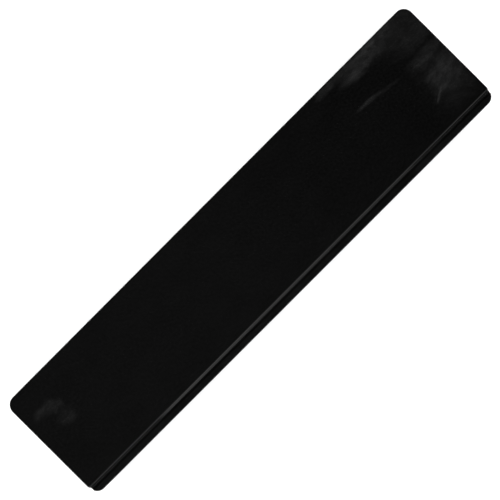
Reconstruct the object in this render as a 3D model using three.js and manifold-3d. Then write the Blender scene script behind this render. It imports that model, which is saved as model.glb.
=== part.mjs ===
// A twelve-inch chalkboard eraser: a two-part black moulded handle over a sewn felt pad.
// Millimetres, +X along the eraser, +Z up, the finger rail on the -Y side.
// The felt stands on z = 0, and the origin is at the middle of that face.

import * as THREE from 'three';
import { mergeVertices } from 'three/addons/utils/BufferGeometryUtils.js';
import Module from 'manifold-3d';

const wasm = await Module();
wasm.setup();

// ---------------------------------------------------------------- driving dimensions

const LENGTH = 304.8;
const DEPTH = 70;
const HEIGHT = 28.6;

// Clearance kept between pieces that lie face to face.
const FIT_GAP = 0.2;

// Top cover: a shallow moulded lid. Its near long edge has a softened slope; the rest is crisp.
const COVER_HEIGHT = 4.2;
const COVER_DEPTH = 65.2;
const COVER_WALL = 2;
const COVER_FAR_RADIUS = 5.7;
const COVER_NEAR_RADIUS = 2.4;
const COVER_EDGE_RADIUS = 0.35;
const SLOPE_DEPTH = 1.4;
const SLOPE_ANGLE = THREE.MathUtils.degToRad(27);
const SLOPE_UPPER_RADIUS = 1.2;
const SLOPE_LOWER_RADIUS = 0.4;

// Base tray: the lower moulding, with a finger rail in front of the cover and a skirt below.
const TRAY_INSET = 0.1;
const TRAY_FLOOR = 2.2;
const TRAY_WALL = 2;
const TRAY_CORNER_RADIUS = 5.2;
const TRAY_SKIRT_DROP = 2.2;
const RAIL_GROOVE = 1.2;
const RAIL_DROP = 2.5;
const RAIL_EDGE_RADIUS = 0.35;

// Stiffening board and the two tapes that hold it to the tray.
const BOARD_THICKNESS = 1.5;
const BOARD_CLEARANCE = 0.5;
const BOARD_CORNER_RADIUS = 3;
const TAPE_THICKNESS = 0.3;
const TAPE_WIDTH = 19;
const TAPE_LENGTH = 290;
const TAPE_OFFSET = 17;

// Felt pad: bands sewn along their middles to a backing sheet, so both legs hang down.
const PAD_CLEARANCE = 0.5;
const GLUE_THICKNESS = 0.8;
const GLUE_MARGIN = 1;
const BACKING_THICKNESS = 2.5;
const BAND_COUNT = 6;
const BAND_SPACING = 0.3;
const BAND_END_INSET = 0.3;
const LEG_THICKNESS = 4.6;
const WEB_THICKNESS = 3.6;
const FOLD_RADIUS = 3;
const LEG_EDGE_RADIUS = 0.6;

// Sewing: one needle thread above the backing and one bobbin thread inside each band.
const THREAD_DIAMETER = 0.6;
const THREAD_CLEARANCE = 0.1;
const THREAD_END_MARGIN = 4;
const THREAD_SIDES = 8;
const GLUE_SLOT_WIDTH = 1.4;

// How finely arcs are faceted, how far a cutting block overruns what it trims, and how close
// two corners of a mesh are before they count as one.
const CURVE_STEPS = 6;
const OVERRUN = 1;
const MERGE_TOLERANCE = 1e-4;

// ---------------------------------------------------------------- heights and places

const COVER_BOTTOM = HEIGHT - COVER_HEIGHT;
const COVER_CEILING = HEIGHT - COVER_WALL;
const TRAY_TOP = COVER_BOTTOM - FIT_GAP;
const TRAY_UNDERSIDE = TRAY_TOP - TRAY_FLOOR;
const SKIRT_BOTTOM = TRAY_UNDERSIDE - TRAY_SKIRT_DROP;
const RAIL_TOP = HEIGHT - RAIL_DROP;
const GLUE_TOP = TRAY_UNDERSIDE - FIT_GAP;
const GLUE_BOTTOM = GLUE_TOP - GLUE_THICKNESS;
const BACKING_TOP = GLUE_BOTTOM - FIT_GAP;
const BACKING_BOTTOM = BACKING_TOP - BACKING_THICKNESS;
const BAND_TOP = BACKING_BOTTOM - FIT_GAP;
const WEB_UNDERSIDE = BAND_TOP - WEB_THICKNESS;

const FAR_Y = DEPTH / 2;
const RAIL_FRONT_Y = -DEPTH / 2;
const COVER_FRONT_Y = FAR_Y - COVER_DEPTH;
const RAIL_BACK_Y = COVER_FRONT_Y - RAIL_GROOVE;
const TRAY_FAR_Y = FAR_Y - TRAY_INSET;
const TRAY_LENGTH = LENGTH - 2 * TRAY_INSET;
const POCKET_CORNER_RADIUS = TRAY_CORNER_RADIUS - TRAY_WALL;

const PAD_Y = (RAIL_FRONT_Y + TRAY_FAR_Y) / 2;
const PAD_CORNER_RADIUS = POCKET_CORNER_RADIUS - PAD_CLEARANCE;
const PAD_LENGTH = TRAY_LENGTH - 2 * (TRAY_WALL + PAD_CLEARANCE);
const PAD_DEPTH = TRAY_FAR_Y - RAIL_FRONT_Y - 2 * (TRAY_WALL + PAD_CLEARANCE);
const BAND_WIDTH = (PAD_DEPTH - (BAND_COUNT - 1) * BAND_SPACING) / BAND_COUNT;
const BAND_LENGTH = PAD_LENGTH - 2 * BAND_END_INSET;
const BAND_PITCH = BAND_WIDTH + BAND_SPACING;
const THREAD_LENGTH = PAD_LENGTH - 2 * THREAD_END_MARGIN;

// ---------------------------------------------------------------- materials

function material(color, roughness) {
  return new THREE.MeshStandardMaterial({ color, roughness, metalness: 0 });
}

const MATERIALS = {
  glossBlack: material(0x0d0d0e, 0.22),
  satinBlack: material(0x0c0c0c, 0.38),
  hardboard: material(0x5b4332, 0.8),
  tape: material(0xd9d7cf, 0.7),
  glue: material(0xb3945a, 0.5),
  backingFelt: material(0x1d1d1f, 1),
  felt: material(0x2c2c2f, 1),
  thread: material(0x17171a, 0.7),
};

// ---------------------------------------------------------------- shape helpers

// An upright rectangle's plan, with one corner radius on the near side and one on the far side.
function planShape(length, nearY, farY, nearRadius, farRadius) {
  const endX = length / 2;
  const shape = new THREE.Shape();
  shape.moveTo(nearRadius - endX, nearY);
  shape.absarc(endX - nearRadius, nearY + nearRadius, nearRadius, -Math.PI / 2, 0);
  shape.absarc(endX - farRadius, farY - farRadius, farRadius, 0, Math.PI / 2);
  shape.absarc(farRadius - endX, farY - farRadius, farRadius, Math.PI / 2, Math.PI);
  shape.absarc(nearRadius - endX, nearY + nearRadius, nearRadius, Math.PI, 1.5 * Math.PI);
  return shape;
}

// A plan shape made solid between two heights.
function slab(shape, bottom, top) {
  const options = { depth: top - bottom, bevelEnabled: false, curveSegments: CURVE_STEPS };
  return new THREE.ExtrudeGeometry(shape, options).translate(0, 0, bottom);
}

// A cross-section, drawn with y across and z up, made solid along X and centred on it.
function bar(section, length) {
  const options = { depth: length, bevelEnabled: false, curveSegments: CURVE_STEPS };
  const toRowAxes = new THREE.Matrix4().makeBasis(
    new THREE.Vector3(0, 1, 0),
    new THREE.Vector3(0, 0, 1),
    new THREE.Vector3(1, 0, 0),
  );
  return new THREE.ExtrudeGeometry(section, options)
    .translate(0, 0, -length / 2)
    .applyMatrix4(toRowAxes);
}

function toSolid(geometry) {
  const bare = geometry.clone();
  bare.deleteAttribute('normal');
  bare.deleteAttribute('uv');
  const merged = mergeVertices(bare, MERGE_TOLERANCE);
  const vertProperties = new Float32Array(merged.attributes.position.array);
  const triVerts = new Uint32Array(merged.index.array);
  return new wasm.Manifold(new wasm.Mesh({ numProp: 3, vertProperties, triVerts }));
}

function toGeometry(solid) {
  const mesh = solid.getMesh();
  const geometry = new THREE.BufferGeometry();
  geometry.setAttribute('position', new THREE.BufferAttribute(mesh.vertProperties, 3));
  geometry.setIndex(new THREE.BufferAttribute(mesh.triVerts, 1));
  geometry.computeVertexNormals();
  return geometry;
}

function place(parent, name, geometry, surface) {
  const mesh = new THREE.Mesh(geometry, surface);
  mesh.name = name;
  parent.add(mesh);
  return mesh;
}

// ---------------------------------------------------------------- handle

// The cover's cross-section: a slope between two arcs on the near edge, one small arc on the far.
function coverSection() {
  const rise = Math.sin(SLOPE_ANGLE);
  const lean = Math.cos(SLOPE_ANGLE);
  const flatDepth = SLOPE_DEPTH - SLOPE_UPPER_RADIUS * rise - SLOPE_LOWER_RADIUS * (1 - rise);
  const upperDrop = SLOPE_UPPER_RADIUS * (1 - lean);
  const flatDrop = flatDepth * Math.tan(SLOPE_ANGLE);
  const lowerCentreDrop = upperDrop + flatDrop + SLOPE_LOWER_RADIUS * lean;
  const slopeTurn = Math.PI / 2 + SLOPE_ANGLE;
  const section = new THREE.Shape();
  section.moveTo(COVER_FRONT_Y, COVER_BOTTOM);
  section.lineTo(FAR_Y, COVER_BOTTOM);
  section.absarc(FAR_Y - COVER_EDGE_RADIUS, HEIGHT - COVER_EDGE_RADIUS, COVER_EDGE_RADIUS, 0, Math.PI / 2);
  section.absarc(
    COVER_FRONT_Y + SLOPE_DEPTH,
    HEIGHT - SLOPE_UPPER_RADIUS,
    SLOPE_UPPER_RADIUS,
    Math.PI / 2,
    slopeTurn,
  );
  section.absarc(
    COVER_FRONT_Y + SLOPE_LOWER_RADIUS,
    HEIGHT - lowerCentreDrop,
    SLOPE_LOWER_RADIUS,
    slopeTurn,
    Math.PI,
  );
  return section;
}

function topCover() {
  const outline = planShape(LENGTH, COVER_FRONT_Y, FAR_Y, COVER_NEAR_RADIUS, COVER_FAR_RADIUS);
  const pocket = planShape(
    LENGTH - 2 * COVER_WALL,
    COVER_FRONT_Y + COVER_WALL,
    FAR_Y - COVER_WALL,
    BOARD_CORNER_RADIUS,
    BOARD_CORNER_RADIUS,
  );
  const block = toSolid(bar(coverSection(), LENGTH + 2 * OVERRUN));
  const column = toSolid(slab(outline, COVER_BOTTOM - OVERRUN, HEIGHT + OVERRUN));
  const hollow = toSolid(slab(pocket, COVER_BOTTOM - OVERRUN, COVER_CEILING));
  return toGeometry(block.intersect(column).subtract(hollow));
}

// The tray's cross-section: skirt and floor in one block, and the finger rail in front.
function traySection() {
  const section = new THREE.Shape();
  section.moveTo(RAIL_FRONT_Y, SKIRT_BOTTOM);
  section.lineTo(TRAY_FAR_Y, SKIRT_BOTTOM);
  section.lineTo(TRAY_FAR_Y, TRAY_TOP);
  section.lineTo(RAIL_BACK_Y, TRAY_TOP);
  section.lineTo(RAIL_BACK_Y, RAIL_TOP);
  section.absarc(
    RAIL_FRONT_Y + RAIL_EDGE_RADIUS,
    RAIL_TOP - RAIL_EDGE_RADIUS,
    RAIL_EDGE_RADIUS,
    Math.PI / 2,
    Math.PI,
  );
  return section;
}

function baseTray() {
  const outline = planShape(
    TRAY_LENGTH,
    RAIL_FRONT_Y,
    TRAY_FAR_Y,
    TRAY_CORNER_RADIUS,
    TRAY_CORNER_RADIUS,
  );
  const pocket = planShape(
    TRAY_LENGTH - 2 * TRAY_WALL,
    RAIL_FRONT_Y + TRAY_WALL,
    TRAY_FAR_Y - TRAY_WALL,
    POCKET_CORNER_RADIUS,
    POCKET_CORNER_RADIUS,
  );
  const block = toSolid(bar(traySection(), TRAY_LENGTH + 2 * OVERRUN));
  const column = toSolid(slab(outline, SKIRT_BOTTOM - OVERRUN, RAIL_TOP + OVERRUN));
  const hollow = toSolid(slab(pocket, SKIRT_BOTTOM - OVERRUN, TRAY_UNDERSIDE));
  return toGeometry(block.intersect(column).subtract(hollow));
}

function stiffeningBoard() {
  const outline = planShape(
    LENGTH - 2 * (COVER_WALL + BOARD_CLEARANCE),
    COVER_FRONT_Y + COVER_WALL + BOARD_CLEARANCE,
    FAR_Y - COVER_WALL - BOARD_CLEARANCE,
    BOARD_CORNER_RADIUS,
    BOARD_CORNER_RADIUS,
  );
  const top = COVER_CEILING - FIT_GAP;
  return slab(outline, top - BOARD_THICKNESS, top);
}

function addTape(eraser, name, offset) {
  const strip = new THREE.BoxGeometry(TAPE_LENGTH, TAPE_WIDTH, TAPE_THICKNESS);
  const tape = place(eraser, name, strip, MATERIALS.tape);
  tape.position.y = (COVER_FRONT_Y + FAR_Y) / 2 + offset;
  tape.position.z = TRAY_TOP + FIT_GAP + TAPE_THICKNESS / 2;
}

function addHandle(eraser) {
  place(eraser, 'top_cover', topCover(), MATERIALS.glossBlack);
  place(eraser, 'stiffening_board', stiffeningBoard(), MATERIALS.hardboard);
  addTape(eraser, 'board_tape_near', -TAPE_OFFSET);
  addTape(eraser, 'board_tape_far', TAPE_OFFSET);
  place(eraser, 'base_tray', baseTray(), MATERIALS.satinBlack);
}

// ---------------------------------------------------------------- felt pad

function bandY(index) {
  return PAD_Y + (index - (BAND_COUNT - 1) / 2) * BAND_PITCH;
}

// The glue film lies round the rows of stitching, so it has one slot over each row.
function glueFilm() {
  const halfDepth = PAD_DEPTH / 2 - GLUE_MARGIN;
  const film = planShape(
    PAD_LENGTH - 2 * GLUE_MARGIN,
    PAD_Y - halfDepth,
    PAD_Y + halfDepth,
    PAD_CORNER_RADIUS,
    PAD_CORNER_RADIUS,
  );
  const slotEnd = (THREAD_LENGTH + GLUE_SLOT_WIDTH) / 2;
  for (let index = 0; index < BAND_COUNT; index += 1) {
    const near = bandY(index) - GLUE_SLOT_WIDTH / 2;
    const slot = new THREE.Path();
    slot.moveTo(-slotEnd, near);
    slot.lineTo(-slotEnd, near + GLUE_SLOT_WIDTH);
    slot.lineTo(slotEnd, near + GLUE_SLOT_WIDTH);
    slot.lineTo(slotEnd, near);
    slot.closePath();
    film.holes.push(slot);
  }
  return slab(film, GLUE_BOTTOM, GLUE_TOP);
}

function feltBacking() {
  const sheet = planShape(
    PAD_LENGTH,
    PAD_Y - PAD_DEPTH / 2,
    PAD_Y + PAD_DEPTH / 2,
    PAD_CORNER_RADIUS,
    PAD_CORNER_RADIUS,
  );
  return slab(sheet, BACKING_BOTTOM, BACKING_TOP);
}

// A band of felt folded over into two legs: rounded at the folds, with a narrow slot between.
function bandSection() {
  const half = BAND_WIDTH / 2;
  const slotHalf = half - LEG_THICKNESS;
  const edge = LEG_EDGE_RADIUS;
  const section = new THREE.Shape();
  section.moveTo(slotHalf, edge);
  section.absarc(slotHalf + edge, edge, edge, Math.PI, 1.5 * Math.PI);
  section.absarc(half - edge, edge, edge, 1.5 * Math.PI, 2 * Math.PI);
  section.absarc(half - FOLD_RADIUS, BAND_TOP - FOLD_RADIUS, FOLD_RADIUS, 0, Math.PI / 2);
  section.absarc(FOLD_RADIUS - half, BAND_TOP - FOLD_RADIUS, FOLD_RADIUS, Math.PI / 2, Math.PI);
  section.absarc(edge - half, edge, edge, Math.PI, 1.5 * Math.PI);
  section.absarc(-slotHalf - edge, edge, edge, 1.5 * Math.PI, 2 * Math.PI);
  section.absarc(0, WEB_UNDERSIDE - slotHalf, slotHalf, Math.PI, 0, true);
  return section;
}

function threadRun() {
  const radius = THREAD_DIAMETER / 2;
  const run = new THREE.CylinderGeometry(radius, radius, THREAD_LENGTH, THREAD_SIDES);
  return run.rotateZ(Math.PI / 2);
}

// One sewn band with its two threads, in a group that is then set at the band's own place.
function sewnBand(number) {
  const row = new THREE.Group();
  const lift = THREAD_CLEARANCE + THREAD_DIAMETER / 2;
  place(row, `felt_band_${number}`, bar(bandSection(), BAND_LENGTH), MATERIALS.felt);
  const needle = place(row, `needle_thread_${number}`, threadRun(), MATERIALS.thread);
  needle.position.z = BACKING_TOP + lift;
  const bobbin = place(row, `bobbin_thread_${number}`, threadRun(), MATERIALS.thread);
  bobbin.position.z = WEB_UNDERSIDE - lift;
  return row;
}

function addPad(eraser) {
  place(eraser, 'pad_glue_film', glueFilm(), MATERIALS.glue);
  place(eraser, 'felt_backing', feltBacking(), MATERIALS.backingFelt);
  for (let index = 0; index < BAND_COUNT; index += 1) {
    const row = sewnBand(index + 1);
    row.position.y = bandY(index);
    eraser.add(row);
  }
}

// ---------------------------------------------------------------- whole eraser

const eraser = new THREE.Group();
eraser.name = 'chalkboard_eraser';
addHandle(eraser);
addPad(eraser);

export default eraser;
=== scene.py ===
"""The finished looks of a twelve-inch chalkboard eraser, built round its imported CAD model.

Metres, +X along the eraser, +Z up, the finger rail on the -Y side, as in the CAD frame.
"""

import math

import bmesh
import bpy
from mathutils import Matrix, Vector, noise


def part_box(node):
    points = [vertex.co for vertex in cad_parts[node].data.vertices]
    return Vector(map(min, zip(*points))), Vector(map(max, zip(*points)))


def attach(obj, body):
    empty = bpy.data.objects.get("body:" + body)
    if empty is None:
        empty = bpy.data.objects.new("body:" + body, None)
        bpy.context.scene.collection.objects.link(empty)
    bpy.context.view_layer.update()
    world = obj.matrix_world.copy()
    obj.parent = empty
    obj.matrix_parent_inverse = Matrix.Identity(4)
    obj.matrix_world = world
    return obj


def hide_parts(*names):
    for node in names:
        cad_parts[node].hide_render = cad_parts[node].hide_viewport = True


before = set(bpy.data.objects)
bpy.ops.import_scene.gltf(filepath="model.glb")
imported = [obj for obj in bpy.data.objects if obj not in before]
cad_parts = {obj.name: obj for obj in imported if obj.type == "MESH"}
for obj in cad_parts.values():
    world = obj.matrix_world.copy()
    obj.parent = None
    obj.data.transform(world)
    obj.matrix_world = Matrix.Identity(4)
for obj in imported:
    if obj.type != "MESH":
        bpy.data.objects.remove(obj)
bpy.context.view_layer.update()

MM = 0.001

cover_low, cover_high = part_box("top_cover")
tray_low, tray_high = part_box("base_tray")
backing_low, backing_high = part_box("felt_backing")


# ---------------------------------------------------------------- camera

# The camera looks straight down, a little from the right, and is turned an eighth of a circle.
VIEW_WIDTH = 269.6 * MM
CAMERA_HEIGHT = 1.0
CAMERA_TILT = math.radians(1.6)
CAMERA_TURN = math.radians(-45.07)
CAMERA_AIM = Vector((0.62 * MM, 0.32 * MM, cover_high.z))


def add_camera():
    data = bpy.data.cameras.new("camera")
    data.sensor_fit = "HORIZONTAL"
    data.lens = data.sensor_width * CAMERA_HEIGHT / VIEW_WIDTH
    data.clip_start = 0.05
    data.clip_end = 100
    camera = bpy.data.objects.new("camera", data)
    turn = Matrix.Rotation(CAMERA_TILT, 4, "Y") @ Matrix.Rotation(CAMERA_TURN, 4, "Z")
    back = turn @ Vector((0, 0, CAMERA_HEIGHT))
    camera.matrix_world = Matrix.Translation(CAMERA_AIM + back) @ turn
    bpy.context.scene.collection.objects.link(camera)
    bpy.context.scene.camera = camera


add_camera()


# ---------------------------------------------------------------- node trees

# Most of what a noise texture gives lies in this range, round this middle.
NOISE_RANGE = (0.3, 0.7)
NOISE_MIDDLE = (0.5, 0.5, 0.5)


class Surface:
    """A material whose node tree is filled by short calls, in the CAD frame's own metres."""

    def __init__(self, name):
        self.material = bpy.data.materials.new(name)
        self.material.use_nodes = True
        self.tree = self.material.node_tree
        self.shader = self.tree.nodes["Principled BSDF"]
        self.place = self.tree.nodes.new("ShaderNodeTexCoord").outputs["Object"]

    def feed(self, socket, value):
        if isinstance(value, bpy.types.NodeSocket):
            self.tree.links.new(value, socket)
        else:
            socket.default_value = value

    def math(self, operation, first, second=0.0, clamp=False):
        node = self.tree.nodes.new("ShaderNodeMath")
        node.operation = operation
        node.use_clamp = clamp
        self.feed(node.inputs[0], first)
        self.feed(node.inputs[1], second)
        return node.outputs[0]

    def total(self, first, *others):
        for other in others:
            first = self.math("ADD", first, other)
        return first

    def product(self, first, *others):
        for other in others:
            first = self.math("MULTIPLY", first, other)
        return first

    def vector(self, operation, first, second, output="Vector"):
        node = self.tree.nodes.new("ShaderNodeVectorMath")
        node.operation = operation
        self.feed(node.inputs[0], first)
        self.feed(node.inputs[1], second)
        return node.outputs[output]

    def turned(self, place, turn):
        node = self.tree.nodes.new("ShaderNodeVectorRotate")
        node.rotation_type = "EULER_XYZ"
        self.feed(node.inputs["Vector"], place)
        self.feed(node.inputs["Rotation"], turn)
        return node.outputs["Vector"]

    def noise(
        self, size, detail=3.0, stretch=(1, 1, 1), turn=(0, 0, 0), roughness=0.5, output="Fac"
    ):
        """Noise from 0 to 1 whose lumps are about size across, drawn out by stretch along X, Y, Z."""
        scale = [1 / (size * share) for share in stretch]
        node = self.tree.nodes.new("ShaderNodeTexNoise")
        place = self.vector("MULTIPLY", self.turned(self.place, turn), scale)
        self.feed(node.inputs["Vector"], place)
        node.inputs["Scale"].default_value = 1.0
        node.inputs["Detail"].default_value = detail
        node.inputs["Roughness"].default_value = roughness
        return node.outputs[output]

    def ramp(self, value, low, high, to_low=0.0, to_high=1.0):
        """value moved smoothly from the range low..high to the range to_low..to_high."""
        node = self.tree.nodes.new("ShaderNodeMapRange")
        node.interpolation_type = "SMOOTHSTEP"
        self.feed(node.inputs["Value"], value)
        node.inputs["From Min"].default_value = low
        node.inputs["From Max"].default_value = high
        node.inputs["To Min"].default_value = to_low
        node.inputs["To Max"].default_value = to_high
        return node.outputs["Result"]

    def levels(self, value, to_low=0.0, to_high=1.0):
        """Noise's usual range moved smoothly to the range to_low..to_high."""
        return self.ramp(value, *NOISE_RANGE, to_low, to_high)

    def axis(self, index):
        """One coordinate of the place: 0 for X, 1 for Y, 2 for Z."""
        node = self.tree.nodes.new("ShaderNodeSeparateXYZ")
        self.feed(node.inputs[0], self.place)
        return node.outputs[index]

    def mix(self, share, first, second):
        node = self.tree.nodes.new("ShaderNodeMix")
        node.data_type = "RGBA"
        self.feed(node.inputs["Factor"], share)
        self.feed(node.inputs["A"], first if not isinstance(first, tuple) else (*first, 1))
        self.feed(node.inputs["B"], second if not isinstance(second, tuple) else (*second, 1))
        return node.outputs["Result"]

    def bump(self, height, depth):
        """Relief whose full height is depth, in metres."""
        node = self.tree.nodes.new("ShaderNodeBump")
        node.inputs["Strength"].default_value = 1.0
        node.inputs["Distance"].default_value = depth
        self.feed(node.inputs["Height"], height)
        self.feed(self.shader.inputs["Normal"], node.outputs["Normal"])

    def set(self, **sockets):
        """Feeds the shader's sockets; an underscore in a name stands for a space."""
        for name, value in sockets.items():
            if isinstance(value, tuple):
                value = (*value, 1)
            self.feed(self.shader.inputs[name.replace("_", " ")], value)
        return self.material


# ---------------------------------------------------------------- materials

# Linear colours. Those in pairs are the two ends of a material's range.
BLACK = (0, 0, 0)
WHITE = (1, 1, 1)
BAND_WOOL = ((0.018, 0.018, 0.019), (0.150, 0.150, 0.156))
BACKING_WOOL = ((0.008, 0.008, 0.0085), (0.060, 0.060, 0.063))
CHALK = (0.55, 0.55, 0.53)
BOARD_FIBRES = ((0.05, 0.025, 0.014), (0.17, 0.1, 0.06))
TAPE_FOAM = ((0.78, 0.76, 0.7), (0.55, 0.53, 0.47))
DRIED_GLUE = ((0.28, 0.17, 0.05), (0.5, 0.36, 0.16))
WAXED_THREAD = ((0.004, 0.004, 0.005), (0.022, 0.022, 0.025))
FLOOR_PAINT = ((0.86, 0.86, 0.86), (0.9, 0.9, 0.9))

# Grey levels of the black plastics: at their left and right, where the fall from left to right is
# painted shading, and what their noise adds at most.
COVER_PAINTED_FALLOFF_LEVELS = (0.0013, 0.0005)
COVER_PAINTED_FALLOFF_SPAN = (cover_low.x * 0.3, cover_high.x * 0.85)
COVER_CLOUD_TINT = 0.0003
COVER_MOTTLE_TINT = 0.0009
TRAY_PAINTED_FALLOFF_LEVELS = (0.0005, 0.0)
TRAY_PAINTED_FALLOFF_SPAN = (tray_low.x, tray_high.x)
TRAY_CLOUD_TINT = 0.0002

# The tray lies TRAY_GAP below the cover, and its rail's back wall stands RAIL_GROOVE in front of it.
TRAY_GAP = 0.2 * MM
RAIL_GROOVE = 1.2 * MM
RAIL_BACK = cover_low.y - RAIL_GROOVE

# Lighter, duller patches on the cover: middle and reach as shares of its half length and half depth,
# turn in degrees, and strength. Blotches have ragged rims; streaks are thin and nearly straight.
BLOTCHES = (
    ((0.92, 0.80), (0.22, 0.30), 0, 0.30),
    ((0.94, 0.50), (0.14, 0.22), 0, 0.30),
    ((0.94, 0.18), (0.12, 0.16), 0, 0.34),
    ((0.95, -0.22), (0.14, 0.46), 0, 0.42),
    ((0.89, 0.10), (0.06, 0.14), 0, 0.26),
    ((0.91, -0.24), (0.08, 0.24), 0, 0.26),
    ((0.92, -0.60), (0.13, 0.36), 0, 0.20),
    ((0.60, 0.92), (0.08, 0.10), 0, 0.46),
    ((0.78, 0.97), (0.26, 0.10), 0, 0.46),
    ((0.76, 0.84), (0.16, 0.18), 0, 0.50),
    ((0.70, 0.74), (0.09, 0.13), 0, 0.42),
    ((-0.91, 0.46), (0.06, 0.15), 0, 0.42),
    ((-0.87, 0.36), (0.04, 0.12), 0, 0.30),
    ((-0.87, 0.14), (0.05, 0.17), 0, 0.36),
)
STREAKS = (
    ((0.67, 0.28), (0.08, 0.050), -24, 0.50),
    ((0.75, 0.22), (0.09, 0.040), -38, 0.20),
    ((0.86, -0.48), (0.12, 0.012), 73, 0.45),
)
# How far noise pushes the marks about along X and Y, and where a mark fades, as shares of its reach.
BLOTCH_WANDER = (16 * MM, 6 * MM, 0)
STREAK_WANDER = (3 * MM, 0.8 * MM, 0)
BLOTCH_RIM = (0.25, 1.0)
PATCH_TINT = 0.0072
PATCH_DULLNESS = 0.16
SCRATCH_DULLNESS = 0.04

# The depth of each material's relief.
COVER_RELIEF = 0.002 * MM
TRAY_RELIEF = 0.002 * MM
FELT_RELIEF = 0.35 * MM
BOARD_RELIEF = 0.05 * MM
TAPE_RELIEF = 0.05 * MM
GLUE_RELIEF = 0.3 * MM
THREAD_RELIEF = 0.05 * MM

# The groove's painted shade fades over this much on either side of the rail's back wall.
PAINTED_GROOVE_SHADE_SOFTNESS = 0.05 * MM

# How much chalk the bands hold at most, and how high it reaches above the wiping face.
BAND_DUST = 0.40
CHALK_HEIGHT = 5 * MM


def blotch(surface, place, middle, reach, turn, strength):
    """One blotch as a value from 0 to strength, soft at its rim."""
    offset = surface.vector("SUBTRACT", place, (*middle, 0))
    turned = surface.turned(offset, (0, 0, math.radians(-turn)))
    scaled = surface.vector("DIVIDE", turned, (*reach, 1))
    distance = surface.vector("LENGTH", scaled, (0, 0, 0), "Value")
    return surface.ramp(distance, *BLOTCH_RIM, strength, 0.0)


def marks(surface, spots, wander):
    """Some marks together, where the cover's plan is pushed about by at most half of wander."""
    half = (cover_high - cover_low) / 2
    middle = (cover_high + cover_low) / 2
    wobble = surface.noise(6 * MM, 4, stretch=(1.4, 0.9, 1), roughness=0.6, output="Color")
    centred = surface.vector("SUBTRACT", wobble, NOISE_MIDDLE)
    shift = surface.vector("MULTIPLY", centred, wander)
    offset = surface.vector("SUBTRACT", surface.place, tuple(middle))
    moved = surface.vector("ADD", offset, shift)
    place = surface.vector("MULTIPLY", moved, (1 / half.x, 1 / half.y, 0))
    return surface.total(*[blotch(surface, place, *spot) for spot in spots])


def pale_patches(surface):
    """All the lighter, duller patches on the cover, patchy and with a faint grain along it."""
    patch_share = surface.total(
        marks(surface, BLOTCHES, BLOTCH_WANDER), marks(surface, STREAKS, STREAK_WANDER)
    )
    grain = surface.noise(1.3 * MM, 3, stretch=(5, 1, 1), turn=(0, 0, 0.12), roughness=0.6)
    patches = surface.noise(3.5 * MM, 4, stretch=(1.5, 1, 1), roughness=0.6)
    return surface.product(
        patch_share, surface.levels(grain, 0.8, 1.15), surface.levels(patches, 0.6, 1.3)
    )


def cover_gloss():
    """Polished black moulding: lighter, duller patches over a clouded, mottled, scratched gloss, with
    painted shading from left to right.
    """
    surface = Surface("cover_gloss")
    patch_share = pale_patches(surface)
    cloud = surface.noise(14 * MM, 4, stretch=(1.5, 1, 1))
    mottle = surface.noise(1.3 * MM, 3)
    tint_and_painted_shade = surface.total(
        surface.product(patch_share, PATCH_TINT),
        # Painted shading: the face darker from left to right, as the light falls off.
        surface.ramp(surface.axis(0), *COVER_PAINTED_FALLOFF_SPAN, *COVER_PAINTED_FALLOFF_LEVELS),
        surface.levels(cloud, 0.0, COVER_CLOUD_TINT),
        surface.levels(mottle, 0.0, COVER_MOTTLE_TINT),
    )
    scratches = surface.noise(0.5 * MM, 2, stretch=(60, 1, 1), turn=(0, 0, 0.09), roughness=0.7)
    dull = surface.total(
        surface.product(surface.ramp(scratches, 0.6, 0.8), SCRATCH_DULLNESS),
        surface.product(patch_share, PATCH_DULLNESS),
        surface.levels(cloud, 0.03, 0.05),
    )
    surface.bump(surface.noise(2.2 * MM, 2), COVER_RELIEF)
    return surface.set(Base_Color=surface.mix(tint_and_painted_shade, BLACK, WHITE), Roughness=dull)


def tray_satin():
    """Satin black moulding with a fine grain, painted shading from left to right, and painted shade
    in the groove between the rail and the cover.
    """
    surface = Surface("tray_satin")
    cloud = surface.noise(16 * MM, 3)
    grain = surface.noise(0.35 * MM, 2)
    tint_and_painted_shade = surface.total(
        surface.levels(cloud, 0.0, TRAY_CLOUD_TINT),
        # Painted shading: the tray darker from left to right, as the light falls off.
        surface.ramp(surface.axis(0), *TRAY_PAINTED_FALLOFF_SPAN, *TRAY_PAINTED_FALLOFF_LEVELS),
    )
    dull = surface.total(surface.levels(grain, 0.10, 0.16), surface.levels(cloud, 0.0, 0.03))
    # Painted shade in the groove: the colour goes to black behind the rail's back wall and below the
    # cover.
    behind_rail = surface.ramp(
        surface.axis(1), RAIL_BACK - PAINTED_GROOVE_SHADE_SOFTNESS, RAIL_BACK + PAINTED_GROOVE_SHADE_SOFTNESS
    )
    below_cover = surface.ramp(surface.axis(2), cover_low.z, cover_low.z - TRAY_GAP / 2)
    painted_groove_shade = surface.product(behind_rail, below_cover)
    tint_and_painted_shade = surface.product(tint_and_painted_shade, surface.math("SUBTRACT", 1.0, painted_groove_shade))
    surface.bump(grain, TRAY_RELIEF)
    return surface.set(Base_Color=surface.mix(tint_and_painted_shade, BLACK, WHITE), Roughness=dull)


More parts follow.
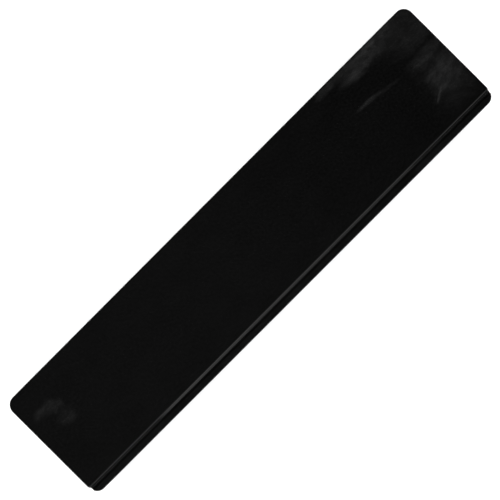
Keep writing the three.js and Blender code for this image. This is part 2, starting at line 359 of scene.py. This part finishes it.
def felt(name, dark, pale, dust):
    """Pressed wool felt: fibres lying every way, small lumps with painted shade in their low places,
    and chalk towards the wiping face.
    """
    surface = Surface(name)
    across = surface.noise(0.14 * MM, 3, stretch=(9, 1, 1), turn=(0.2, 0.5, 0.7), roughness=0.6)
    along = surface.noise(0.14 * MM, 3, stretch=(1, 1, 9), turn=(0.6, 0.3, 0.2), roughness=0.6)
    stray = surface.noise(0.16 * MM, 3, stretch=(1, 10, 1), turn=(0.9, 0.1, 0.5), roughness=0.6)
    fibres = surface.math("MAXIMUM", surface.math("MAXIMUM", across, along), stray)
    lumps = surface.noise(1.6 * MM, 4, roughness=0.6)
    cloud = surface.noise(11 * MM, 3)
    heather = surface.noise(0.9 * MM, 4, stretch=(2.2, 1, 1), turn=(0.3, 0.2, 0.5), roughness=0.65)

    light = surface.product(surface.ramp(fibres, 0.48, 0.78), surface.levels(cloud, 0.55, 0.8))
    light = surface.math("ADD", light, surface.ramp(heather, 0.42, 0.72, 0.0, 0.45), clamp=True)
    colour = surface.mix(light, dark, pale)
    # Painted shade: the colour darkens towards black where the lumps of the relief lie low.
    colour = surface.mix(surface.levels(lumps, 0.35, 0.0), colour, BLACK)

    grains = surface.noise(1.5 * MM, 5, stretch=(1.6, 1, 1), roughness=0.7)
    areas = surface.noise(26 * MM, 2)
    chalk = surface.product(
        surface.ramp(surface.axis(2), 0.0, CHALK_HEIGHT, 1.0, 0.0),
        surface.ramp(grains, 0.42, 0.68),
        surface.ramp(fibres, 0.4, 0.7, 0.4, 1.0),
        surface.ramp(areas, 0.35, 0.65, 0.35, 1.0),
        dust,
    )
    colour = surface.mix(chalk, colour, CHALK)

    relief = surface.total(surface.product(fibres, 0.5), surface.product(lumps, 0.8))
    surface.bump(relief, FELT_RELIEF)
    return surface.set(Base_Color=colour, Roughness=0.95, Sheen_Weight=0.35, Sheen_Roughness=0.45)


def hardboard():
    surface = Surface("hardboard")
    fibres = surface.noise(0.25 * MM, 4, stretch=(5, 1, 1), turn=(0, 0, 0.6))
    cloud = surface.noise(20 * MM, 3)
    share = surface.product(surface.levels(fibres), surface.levels(cloud, 0.5, 1.0))
    surface.bump(fibres, BOARD_RELIEF)
    return surface.set(Base_Color=surface.mix(share, *BOARD_FIBRES), Roughness=0.75)


def foam_tape():
    surface = Surface("foam_tape")
    cells = surface.noise(0.4 * MM, 2)
    cloud = surface.noise(15 * MM, 2)
    share = surface.product(cells, surface.levels(cloud, 0.6, 1.0))
    surface.bump(cells, TAPE_RELIEF)
    return surface.set(Base_Color=surface.mix(share, *TAPE_FOAM), Roughness=0.65)


def dried_glue():
    surface = Surface("glue")
    ripples = surface.noise(4 * MM, 4, stretch=(3, 1, 1))
    surface.bump(ripples, GLUE_RELIEF)
    colour = surface.mix(surface.levels(ripples), *DRIED_GLUE)
    return surface.set(Base_Color=colour, Roughness=surface.levels(ripples, 0.25, 0.5))


def waxed_thread():
    surface = Surface("thread")
    plies = surface.noise(0.12 * MM, 3, stretch=(4, 1, 1), turn=(0, 0, 0.6))
    surface.bump(plies, THREAD_RELIEF)
    return surface.set(
        Base_Color=surface.mix(plies, *WAXED_THREAD),
        Roughness=surface.levels(plies, 0.4, 0.7),
        Sheen_Weight=0.2,
    )


# ---------------------------------------------------------------- stage

FLOOR_REACH = 30.0
FLOOR_ROUGHNESS = 0.9
FLOOR_CLOUD = 0.4

SUN_STRENGTH = 5.3
SUN_SOFTNESS = math.radians(80)
SUN_TILT = math.radians(-5.5)

# The sky's grey level by height: 0 at the horizon, 1 straight up.
WORLD_HEIGHTS = (
    (0.00, 1.00),
    (0.085, 1.00),
    (0.10, 0.20),
    (0.30, 0.12),
    (0.75, 0.06),
    (1.00, 0.03),
)

# The cover's near slope mirrors a long strip light and a row of panels, brightest on the left.
# Lengths are along the eraser, and tilts are from straight up.
LIGHT_DISTANCE = 2.2
STRIP_LENGTH = 3.2
STRIP_WIDTH = 0.70
STRIP_TILT = math.radians(17)
STRIP_POWER = 12.6
PANEL_LENGTH = 0.10
PANEL_WIDTH = 2.24
PANEL_TILT = math.radians(53)
PANEL_POWERS = (0.54, 0.46, 0.39, 0.33, 0.27, 0.22)
PANEL_ROW_MIDDLE = -0.064


def add_floor():
    floor_mesh = bpy.data.meshes.new("floor")
    signs = ((-1, -1), (1, -1), (1, 1), (-1, 1))
    corners = [(FLOOR_REACH * x, FLOOR_REACH * y, 0) for x, y in signs]
    floor_mesh.from_pydata(corners, [], [(0, 1, 2, 3)])
    floor = bpy.data.objects.new("floor", floor_mesh)
    surface = Surface("floor")
    colour = surface.mix(surface.noise(FLOOR_CLOUD), *FLOOR_PAINT)
    floor_mesh.materials.append(surface.set(Base_Color=colour, Roughness=FLOOR_ROUGHNESS))
    bpy.context.scene.collection.objects.link(floor)


def add_sun():
    """Soft light from above for everything but mirror reflections, as from a wide lit ceiling."""
    data = bpy.data.lights.new("ceiling_light", "SUN")
    data.energy = SUN_STRENGTH
    data.angle = SUN_SOFTNESS
    sun = bpy.data.objects.new("ceiling_light", data)
    sun.rotation_euler = (SUN_TILT, 0, 0)
    sun.visible_glossy = False
    bpy.context.scene.collection.objects.link(sun)


def add_softbox(name, length, width, tilt, power, along=0.0):
    """A rectangular light in front of the eraser, facing it."""
    data = bpy.data.lights.new(name, "AREA")
    data.shape = "RECTANGLE"
    data.size = length
    data.size_y = width
    data.energy = power
    light = bpy.data.objects.new(name, data)
    light.location = (
        along, -math.sin(tilt) * LIGHT_DISTANCE, math.cos(tilt) * LIGHT_DISTANCE
    )
    light.rotation_euler = (tilt, 0, 0)
    light.visible_camera = False
    bpy.context.scene.collection.objects.link(light)


def add_world():
    """A sky that is white along the horizon and dark above, for the mouldings to mirror."""
    world = bpy.data.worlds.new("studio")
    world.use_nodes = True
    tree = world.node_tree
    direction = tree.nodes.new("ShaderNodeTexCoord").outputs["Generated"]
    split = tree.nodes.new("ShaderNodeSeparateXYZ")
    ramp = tree.nodes.new("ShaderNodeValToRGB")
    tree.links.new(direction, split.inputs[0])
    tree.links.new(split.outputs["Z"], ramp.inputs["Fac"])
    tree.links.new(ramp.outputs["Color"], tree.nodes["Background"].inputs["Color"])
    ramp.color_ramp.interpolation = "EASE"
    stops = ramp.color_ramp.elements
    while len(stops) < len(WORLD_HEIGHTS):
        stops.new(0.5)
    for stop, (height, level) in zip(stops, WORLD_HEIGHTS):
        stop.position = height
        stop.color = (level, level, level, 1)
    bpy.context.scene.world = world


def add_stage():
    add_floor()
    add_sun()
    add_softbox("strip_light", STRIP_LENGTH, STRIP_WIDTH, STRIP_TILT, STRIP_POWER)
    for number, power in enumerate(PANEL_POWERS):
        along = PANEL_ROW_MIDDLE + (number - (len(PANEL_POWERS) - 1) / 2) * PANEL_LENGTH
        name = f"front_panel_{number + 1}"
        add_softbox(name, PANEL_LENGTH, PANEL_WIDTH, PANEL_TILT, power, along)
    add_world()
    bpy.context.scene.view_settings.view_transform = "Standard"


# ---------------------------------------------------------------- mesh helpers

# Steps round each corner, along each short end and along each long side of a lofted ring.
CORNER_STEPS = 10
END_STEPS = 14
SIDE_STEPS = 64
CREASE = math.radians(40)


def plan_ring(half_length, near, far, near_radius, far_radius):
    """A rounded rectangle as points, anticlockwise from the near right corner.

    Every ring has the same number of points in the same order, so rings join one to the next.
    """
    corners = (
        (half_length - near_radius, near + near_radius, near_radius),
        (half_length - far_radius, far - far_radius, far_radius),
        (far_radius - half_length, far - far_radius, far_radius),
        (near_radius - half_length, near + near_radius, near_radius),
    )
    points = []
    for k, (x, y, radius) in enumerate(corners):
        for step in range(CORNER_STEPS + 1):
            angle = (k - 1 + step / CORNER_STEPS) * math.pi / 2
            points.append(Vector((x + radius * math.cos(angle), y + radius * math.sin(angle))))
        next_x, next_y, next_radius = corners[(k + 1) % 4]
        angle = k * math.pi / 2
        start = points[-1]
        end = Vector((next_x + next_radius * math.cos(angle), next_y + next_radius * math.sin(angle)))
        steps = (END_STEPS, SIDE_STEPS)[k % 2]
        points += [start.lerp(end, step / steps) for step in range(1, steps)]
    return points


def cap_ring(mesh, ring):
    """Closes a ring of plan_ring's points with a ladder of quads between its long sides."""
    first_far = 2 * CORNER_STEPS + END_STEPS
    first_left = first_far + SIDE_STEPS
    last_left = first_left + 2 * CORNER_STEPS + END_STEPS
    far_side = ring[first_far:first_left + 1]
    near_side = ring[last_left:] + ring[:1]
    near_side.reverse()
    for step in range(SIDE_STEPS):
        mesh.faces.new((far_side[step], far_side[step + 1], near_side[step + 1], near_side[step]))
    mesh.faces.new(ring[:first_far + 1])
    mesh.faces.new(ring[first_left:last_left + 1])


def loft(rings):
    """A closed mesh through rings of points, capped at the first and the last."""
    mesh = bmesh.new()
    made = [[mesh.verts.new(point) for point in ring] for ring in rings]
    for inner, outer in zip(made, made[1:]):
        count = len(inner)
        for k in range(count):
            following = (k + 1) % count
            mesh.faces.new((inner[k], outer[k], outer[following], inner[following]))
    cap_ring(mesh, made[0])
    cap_ring(mesh, made[-1])
    bmesh.ops.recalc_face_normals(mesh, faces=mesh.faces)
    return mesh


def smoothly(low, high, value):
    """0 below low, 1 above high, and a smooth step between them."""
    share = min(max((value - low) / (high - low), 0.0), 1.0)
    return share * share * (3 - 2 * share)


def add_piece(name, mesh, material, node):
    """Makes an object of the mesh that stands for a CAD node."""
    data = bpy.data.meshes.new(name)
    mesh.to_mesh(data)
    mesh.free()
    data.shade_smooth()
    data.set_sharp_from_angle(angle=CREASE)
    data.materials.append(material)
    piece = bpy.data.objects.new(name, data)
    bpy.context.scene.collection.objects.link(piece)
    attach(piece, "root")
    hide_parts(node)
    return piece


# ---------------------------------------------------------------- cover

COVER_WALL = 2 * MM
COVER_FAR_RADIUS = 5.7 * MM
COVER_NEAR_RADIUS = 2.4 * MM
COVER_LEAST_RADIUS = 0.25 * MM
COVER_EDGE_RADIUS = 0.35 * MM
COVER_LIP_RADIUS = 0.25 * MM
LIP_STEPS = 4
POCKET_RADIUS = 3 * MM

# The face waves a little, from nothing near its outline to all of it farther in.
COVER_WAVE = 0.02 * MM
COVER_WAVE_SIZE = 45 * MM
COVER_WAVE_START = 3 * MM
COVER_WAVE_FULL = 10 * MM

# Rings of the face: round its edge, over the slope's depth, and on to the spine along its middle.
EDGE_STEPS = 8
SLOPE_STEPS = 14
SLOPE_EXTRA_STEPS = 2
FACE_STEPS = 11
FACE_CROWDING = 1.6
SPINE_HALF_WIDTH = 0.8 * MM

# The near edge is a slope between an upper and a lower arc. The lower one is tighter than in CAD.
SLOPE_DEPTH = 1.4 * MM
SLOPE_ANGLE = math.radians(27)
SLOPE_UPPER_RADIUS = 1.2 * MM
SLOPE_LOWER_RADIUS = 0.22 * MM

# The higher this power, the sharper the corner where the slope meets the rounding of the ends.
EDGE_POWER = 4


def slope_drop(distance):
    """How far the near slope lies below the cover's face, at a distance in from its outer wall."""
    rise = math.sin(SLOPE_ANGLE)
    lean = math.cos(SLOPE_ANGLE)
    into = min(max(SLOPE_DEPTH - distance, 0.0), SLOPE_DEPTH)
    if into <= SLOPE_UPPER_RADIUS * rise:
        return SLOPE_UPPER_RADIUS - math.sqrt(SLOPE_UPPER_RADIUS ** 2 - into ** 2)
    upper_drop = SLOPE_UPPER_RADIUS * (1 - lean)
    slope = math.tan(SLOPE_ANGLE)
    left = SLOPE_DEPTH - into
    if left >= SLOPE_LOWER_RADIUS * (1 - rise):
        return upper_drop + (into - SLOPE_UPPER_RADIUS * rise) * slope
    flat_depth = SLOPE_DEPTH - SLOPE_UPPER_RADIUS * rise - SLOPE_LOWER_RADIUS * (1 - rise)
    centre_drop = upper_drop + flat_depth * slope + SLOPE_LOWER_RADIUS * lean
    return centre_drop - math.sqrt(SLOPE_LOWER_RADIUS ** 2 - (SLOPE_LOWER_RADIUS - left) ** 2)


def edge_drop(distance, radius):
    """How far a rounded edge lies below the face, at a distance in from the wall."""
    short = min(max(radius - distance, 0.0), radius)
    return radius - math.sqrt(radius ** 2 - short ** 2)


def cover_face(x, y, inset):
    """The height of the cover's upper face at a point that lies inset from its outline."""
    slope = slope_drop(y - cover_low.y)
    edge = edge_drop(inset, COVER_EDGE_RADIUS)
    drop = (slope ** EDGE_POWER + edge ** EDGE_POWER) ** (1 / EDGE_POWER)
    wave = COVER_WAVE * abs(noise.noise(Vector((x, y, 0)) / COVER_WAVE_SIZE))
    return cover_high.z - drop - wave * smoothly(COVER_WAVE_START, COVER_WAVE_FULL, inset)


def cover_insets():
    """Distances in from the outline at which the face has a ring, from the middle outwards."""
    half_depth = (cover_high.y - cover_low.y) / 2
    turns = [step / EDGE_STEPS * math.pi / 2 for step in range(EDGE_STEPS + 1)]
    edge = [SLOPE_LOWER_RADIUS * (1 - math.cos(turn)) for turn in turns]
    span = SLOPE_DEPTH - edge[-1]
    steps = range(1, SLOPE_STEPS + SLOPE_EXTRA_STEPS + 1)
    slope = [edge[-1] + span * step / SLOPE_STEPS for step in steps]
    span = half_depth - SPINE_HALF_WIDTH - slope[-1]
    shares = [(step / FACE_STEPS) ** FACE_CROWDING for step in range(1, FACE_STEPS + 1)]
    face = [slope[-1] + span * share for share in shares]
    return sorted(edge + slope + face, reverse=True)


def cover_ring(inset, height=None, near_radius=None, far_radius=None):
    """The cover's plan at an inset, at one height, or on its face where none is given."""
    near_radius = near_radius or max(COVER_NEAR_RADIUS - inset, COVER_LEAST_RADIUS)
    far_radius = far_radius or max(COVER_FAR_RADIUS - inset, COVER_LEAST_RADIUS)
    plan = plan_ring(
        cover_high.x - inset, cover_low.y + inset, cover_high.y - inset, near_radius, far_radius
    )
    if height is not None:
        return [(x, y, height) for x, y in plan]
    return [(x, y, cover_face(x, y, inset)) for x, y in plan]


def cover_mesh():
    """A lid: the upper face, the outer wall, the lip, and the pocket's wall and ceiling."""
    low = cover_low.z
    ceiling = cover_high.z - COVER_WALL
    rings = [cover_ring(inset) for inset in cover_insets()]
    for step in range(LIP_STEPS + 1):
        angle = step / LIP_STEPS * math.pi / 2
        inset = COVER_LIP_RADIUS * (1 - math.cos(angle))
        height = low + COVER_LIP_RADIUS * (1 - math.sin(angle))
        rings.append(cover_ring(inset, height))
    pocket = {"near_radius": POCKET_RADIUS, "far_radius": POCKET_RADIUS}
    rings.append(cover_ring(COVER_WALL - COVER_LIP_RADIUS, low, **pocket))
    rings.append(cover_ring(COVER_WALL, low + COVER_LIP_RADIUS, **pocket))
    rings.append(cover_ring(COVER_WALL, ceiling - COVER_LIP_RADIUS, **pocket))
    rings.append(cover_ring(COVER_WALL + COVER_LIP_RADIUS, ceiling, **pocket))
    return loft(rings)


# ---------------------------------------------------------------- tray

TRAY_WALL = 2 * MM
TRAY_FLOOR = 2.2 * MM
TRAY_CORNER_RADIUS = 5.2 * MM
RAIL_EDGE_RADIUS = 0.35 * MM
TRAY_EDGE_RADIUS = 0.3 * MM
TRAY_BEVEL_STEPS = 6
TRAY_ARC_STEPS = 14
TRAY_SIDE_STEP = 6 * MM
SAME_PLACE = 0.01 * MM


def tray_corner(k):
    """Centre of corner k: 0 near right, 1 far right, 2 far left, 3 near left."""
    x = (tray_high.x - TRAY_CORNER_RADIUS) * (1, 1, -1, -1)[k]
    near = tray_low.y + TRAY_CORNER_RADIUS
    far = tray_high.y - TRAY_CORNER_RADIUS
    return x, (near, far, far, near)[k]


def tray_outline(inset):
    """The tray's plan at an inset, and how many of its points, from the first, bound the rail."""
    radius = TRAY_CORNER_RADIUS - inset
    split = math.asin((tray_low.y + TRAY_CORNER_RADIUS - RAIL_BACK) / TRAY_CORNER_RADIUS)
    quarter = math.pi / 2
    arcs = (
        (3, 2 * quarter + split, 3 * quarter),
        (0, -quarter, -split),
        (0, -split, 0),
        (1, 0, quarter),
        (2, quarter, 2 * quarter),
        (3, 2 * quarter, 2 * quarter + split),
    )
    points = []
    rail_count = 0
    for number, (corner, start, end) in enumerate(arcs):
        x, y = tray_corner(corner)
        steps = max(2, round(TRAY_ARC_STEPS * (end - start) / quarter))
        arc = [start + (end - start) * step / steps for step in range(steps + 1)]
        made = [Vector((x + radius * math.cos(a), y + radius * math.sin(a))) for a in arc]
        if points and (made[0] - points[-1]).length > SAME_PLACE:
            gap = made[0] - points[-1]
            pieces = max(1, round(gap.length / TRAY_SIDE_STEP))
            points += [points[-1] + gap * step / pieces for step in range(1, pieces)]
        elif points:
            made = made[1:]
        points += made
        if number == 1:
            rail_count = len(points)
    if (points[0] - points[-1]).length < SAME_PLACE:
        points.pop()
    return points, rail_count


def tray_mesh():
    """Floor and skirt in one block with a pocket below, and the finger rail standing in front."""
    floor_top = cover_low.z - TRAY_GAP
    underside = floor_top - TRAY_FLOOR
    outer, rail_count = tray_outline(0)
    inner, _ = tray_outline(TRAY_WALL)
    mesh = bmesh.new()

    def ring(points, height):
        return [mesh.verts.new((point.x, point.y, height)) for point in points]

    foot = ring(outer, tray_low.z)
    shoulder = ring(outer, floor_top)
    rail_top = ring(outer[:rail_count], tray_high.z)
    lip = ring(inner, tray_low.z)
    pocket = ring(inner, underside)
    count = len(outer)
    for k in range(count):
        following = (k + 1) % count
        mesh.faces.new((foot[k], foot[following], shoulder[following], shoulder[k]))
        mesh.faces.new((foot[following], foot[k], lip[k], lip[following]))
        mesh.faces.new((lip[following], lip[k], pocket[k], pocket[following]))
    for k in range(rail_count - 1):
        mesh.faces.new((shoulder[k], shoulder[k + 1], rail_top[k + 1], rail_top[k]))
    mesh.faces.new(rail_top)
    mesh.faces.new((shoulder[rail_count - 1], shoulder[0], rail_top[0], rail_top[-1]))
    mesh.faces.new(shoulder[rail_count - 1:] + shoulder[:1])
    mesh.faces.new(list(reversed(pocket)))
    bmesh.ops.recalc_face_normals(mesh, faces=mesh.faces)

    weight = mesh.edges.layers.float.new("bevel_weight_edge")

    def soften(loop, radius, closed=True):
        pairs = zip(loop, loop[1:] + loop[:1] if closed else loop[1:])
        for a, b in pairs:
            mesh.edges.get((a, b))[weight] = radius / RAIL_EDGE_RADIUS

    soften(rail_top, RAIL_EDGE_RADIUS, closed=False)
    soften([rail_top[-1], rail_top[0]], TRAY_EDGE_RADIUS, closed=False)
    soften(shoulder[rail_count - 1:] + shoulder[:1], TRAY_EDGE_RADIUS, closed=False)
    soften(foot, TRAY_EDGE_RADIUS)
    soften(lip, TRAY_EDGE_RADIUS / 2)
    return mesh


def with_modifier(piece, kind, **settings):
    """Replaces the piece's mesh by the same mesh with one modifier applied."""
    modifier = piece.modifiers.new(kind.lower(), kind)
    for name, value in settings.items():
        setattr(modifier, name, value)
    graph = bpy.context.evaluated_depsgraph_get()
    made = bpy.data.meshes.new_from_object(piece.evaluated_get(graph), depsgraph=graph)
    piece.modifiers.clear()
    piece.data = made


def bevelled(piece):
    """Rounds the edges that carry a weight, and keeps the flat faces flat-looking."""
    with_modifier(
        piece,
        "BEVEL",
        limit_method="WEIGHT",
        width=RAIL_EDGE_RADIUS,
        segments=TRAY_BEVEL_STEPS,
        use_clamp_overlap=True,
    )
    piece.data.shade_smooth()
    piece.data.set_sharp_from_angle(angle=CREASE)
    with_modifier(piece, "WEIGHTED_NORMAL", keep_sharp=True)


# ---------------------------------------------------------------- felt

BAND_STEP = 1.1 * MM
FOLD_STEPS = 7
PLY_STEPS = 4
LEG_THICKNESS = 4.6 * MM
WEB_THICKNESS = 3.6 * MM
FOLD_RADIUS = 3 * MM

# A cut edge is rounded, and has points at these shares of its rounding.
CUT_EDGE_RADIUS = 0.7 * MM
CUT_EDGE_STEPS = (0.0, 0.04, 0.15, 0.4, 1.0)

# Lumps all over, and a slower sway of the legs from side to side.
LUMP_SIZE = 2.6 * MM
LUMP_DEPTH = 0.24 * MM
SWAY_SIZE = 24 * MM
SWAY_DEPTH = 0.34 * MM


def lump(point):
    """Felt's lumps, from 0 to 1."""
    return 0.5 + 0.5 * noise.noise(point / LUMP_SIZE)


def stations(low, high, both_ends):
    """Places along a felt band: close together where a cut edge is rounded, then evenly apart."""
    rounded = [low + CUT_EDGE_RADIUS * share for share in CUT_EDGE_STEPS]
    last = high - CUT_EDGE_RADIUS if both_ends else high
    steps = round((last - rounded[-1]) / BAND_STEP)
    even = [rounded[-1] + (last - rounded[-1]) * step / steps for step in range(1, steps + 1)]
    if both_ends:
        even += [high - CUT_EDGE_RADIUS * share for share in reversed(CUT_EDGE_STEPS[:-1])]
    return rounded + even


def arc_points(centre, radius, start, end, steps):
    """Points of an arc, without its first."""
    angles = [math.radians(start + (end - start) * step / steps) for step in range(1, steps + 1)]
    return [centre + Vector((math.cos(a), math.sin(a))) * radius for a in angles]


def fold_line(half, top, radius, heights):
    """One face of the folded band in cross-section: up a leg, over the fold and down again."""
    up = [Vector((half, top * height / heights[-1])) for height in heights]
    right = arc_points(Vector((half - radius, top)), radius, 0, 90, FOLD_STEPS)
    left = arc_points(Vector((radius - half, top)), radius, 90, 180, FOLD_STEPS)
    down = [Vector((-point.x, point.y)) for point in reversed(up[:-1])]
    return up + right + left + down


def felt_give(point, outward, middle):
    """How felt differs from its plain shape: lumps, and legs that sway a little to either side."""
    sway = noise.noise(Vector((point.x, middle, point.y - middle)) / SWAY_SIZE)
    side = outward.y * (1 if point.y > middle else -1)
    return outward * -(LUMP_DEPTH * lump(point) + SWAY_DEPTH * (abs(side) + sway * side) / 2)


def closeness(distance):
    """1 at a cut edge, 0 where the edge's rounding ends."""
    return 1 - min(distance / CUT_EDGE_RADIUS, 1.0)


def pulled_in(own, second, third):
    """How far rounding a corner, from a cube's to a ball's, moves a point along its own direction."""
    share = second ** 2 * (1 - third ** 2 / 3) / 2 + third ** 2 * (1 - second ** 2 / 3) / 2
    return CUT_EDGE_RADIUS * own * (1 - math.sqrt(1 - share))


def band_mesh(low, high):
    """A thick felt band folded over: the skin of a block of plies by path by length."""
    half = (high.y - low.y) / 2
    middle = (high.y + low.y) / 2
    rise = high.z - low.z
    top = rise - FOLD_RADIUS
    slot = half - LEG_THICKNESS
    heights = stations(0.0, top, both_ends=False)
    outer = fold_line(half, top, FOLD_RADIUS, heights)
    inner = fold_line(slot, rise - WEB_THICKNESS - slot, slot, heights)
    lengths = stations(low.x, high.x, both_ends=True)
    length_steps = len(lengths) - 1
    path_steps = len(outer) - 1
    mesh = bmesh.new()
    grid = {}

    def corner(i, j, k):
        if (i, j, k) not in grid:
            x = lengths[i]
            end = closeness(min(x - low.x, high.x - x))
            foot = closeness(outer[j].y)
            side = 1.0 if k in (0, PLY_STEPS) else 0.0
            inset = pulled_in(side, end, foot) / (outer[j] - inner[j]).length
            across = outer[j].lerp(inner[j], inset + (1 - 2 * inset) * k / PLY_STEPS)
            x += math.copysign(pulled_in(end, foot, side), -x)
            z = low.z + across.y + pulled_in(foot, end, side)
            grid[i, j, k] = mesh.verts.new((x, middle + across.x, z))
        return grid[i, j, k]

    def face(*corners):
        mesh.faces.new([corner(*place) for place in corners])

    for i in range(length_steps):
        for j in range(path_steps):
            for k in (0, PLY_STEPS):
                face((i, j, k), (i + 1, j, k), (i + 1, j + 1, k), (i, j + 1, k))
        for k in range(PLY_STEPS):
            for j in (0, path_steps):
                face((i, j, k), (i, j, k + 1), (i + 1, j, k + 1), (i + 1, j, k))
    for i in (0, length_steps):
        for j in range(path_steps):
            for k in range(PLY_STEPS):
                face((i, j, k), (i, j + 1, k), (i, j + 1, k + 1), (i, j, k + 1))
    bmesh.ops.recalc_face_normals(mesh, faces=mesh.faces)
    mesh.normal_update()
    moves = [(vert, felt_give(vert.co, vert.normal, middle)) for vert in mesh.verts]
    for vert, move in moves:
        vert.co += move
        vert.co.z = max(vert.co.z, low.z)
    return mesh


BACKING_CORNER_RADIUS = 2.7 * MM
BACKING_EDGE_RADIUS = 0.5 * MM
BACKING_EDGE_STEPS = 4
BACKING_FACE_INSET = 8 * MM
BACKING_WAVE = 0.2 * MM


def backing_mesh():
    """The backing sheet: a slab with felted, slightly uneven edges."""
    turns = [step / BACKING_EDGE_STEPS * math.pi / 2 for step in range(BACKING_EDGE_STEPS + 1)]
    arc = [(1 - math.sin(turn), 1 - math.cos(turn)) for turn in turns]
    edge = [(BACKING_EDGE_RADIUS * inset, BACKING_EDGE_RADIUS * drop) for inset, drop in arc]
    section = [(BACKING_FACE_INSET, backing_high.z)]
    section += [(inset, backing_high.z - drop) for inset, drop in edge]
    section += [(inset, backing_low.z + drop) for inset, drop in reversed(edge)]
    section.append((BACKING_FACE_INSET, backing_low.z))
    rings = []
    for inset, height in section:
        radius = max(BACKING_CORNER_RADIUS - inset, BACKING_EDGE_RADIUS)
        plan = plan_ring(
            backing_high.x - inset, backing_low.y + inset, backing_high.y - inset, radius, radius
        )
        ring = []
        for x, y in plan:
            ragged = BACKING_WAVE * lump(Vector((x, y, height)))
            ring.append((x - math.copysign(ragged, x), y - math.copysign(ragged, y), height))
        rings.append(ring)
    return loft(rings)


# ---------------------------------------------------------------- stitches

STITCH_LENGTH = 5 * MM
STITCH_STEPS = 8
STITCH_DIP = 0.35 * MM
DIP_SHARPNESS = 6
THREAD_RADIUS = 0.28 * MM
PLY_WAIST = 0.78
PLY_TWIST = 2.4 * MM
THREAD_SIDES = 10


def stitch_mesh(low, high, into):
    """A row of lock stitches: a two-ply thread that dips into the felt between stitches.

    into is +1 where the felt is above the thread and -1 where it is below.
    """
    count = round((high.x - low.x) / STITCH_LENGTH)
    steps = count * STITCH_STEPS
    middle = (low + high) / 2
    mesh = bmesh.new()
    rings = []
    for step in range(steps + 1):
        x = low.x + (high.x - low.x) * step / steps
        dip = abs(math.cos(math.pi * step / STITCH_STEPS)) ** DIP_SHARPNESS
        centre = Vector((x, middle.y, middle.z + into * STITCH_DIP * dip))
        twist = x / PLY_TWIST * math.tau
        ring = []
        for side in range(THREAD_SIDES):
            angle = math.tau * side / THREAD_SIDES
            bulge = abs(math.cos(angle - twist))
            radius = THREAD_RADIUS * (PLY_WAIST + (1 - PLY_WAIST) * bulge)
            outward = Vector((0, math.cos(angle), math.sin(angle)))
            ring.append(mesh.verts.new(centre + outward * radius))
        rings.append(ring)
    for first, second in zip(rings, rings[1:]):
        for side in range(THREAD_SIDES):
            following = (side + 1) % THREAD_SIDES
            mesh.faces.new((first[side], second[side], second[following], first[following]))
    mesh.faces.new(rings[0])
    mesh.faces.new(rings[-1])
    bmesh.ops.recalc_face_normals(mesh, faces=mesh.faces)
    return mesh


# ---------------------------------------------------------------- pieces

BAND_COUNT = 6


def add_handle():
    add_piece("cover_moulding", cover_mesh(), cover_gloss(), "top_cover")
    tray = add_piece("tray_moulding", tray_mesh(), tray_satin(), "base_tray")
    bevelled(tray)


def add_hidden_layers():
    """The CAD solids between the mouldings and the pad keep their shapes and get their finishes."""
    finishes = {
        "stiffening_board": hardboard(),
        "board_tape_near": foam_tape(),
        "pad_glue_film": dried_glue(),
    }
    finishes["board_tape_far"] = finishes["board_tape_near"]
    for name, finish in finishes.items():
        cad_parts[name].material_slots[0].material = finish


def add_pad():
    wool = felt("band_felt", *BAND_WOOL, BAND_DUST)
    thread = waxed_thread()
    backing_wool = felt("backing_felt", *BACKING_WOOL, 0.0)
    backing = add_piece(
        "backing_sheet", backing_mesh(), backing_wool, "felt_backing"
    )
    for number in range(1, BAND_COUNT + 1):
        node = f"felt_band_{number}"
        low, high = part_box(node)
        band = add_piece(f"band_cloth_{number}", band_mesh(low, high), wool, node)
        for kind, into in (("needle", -1), ("bobbin", 1)):
            node = f"{kind}_thread_{number}"
            mesh = stitch_mesh(*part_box(node), into)
            add_piece(f"{kind}_stitches_{number}", mesh, thread, node)


add_stage()
add_handle()
add_hidden_layers()
add_pad()
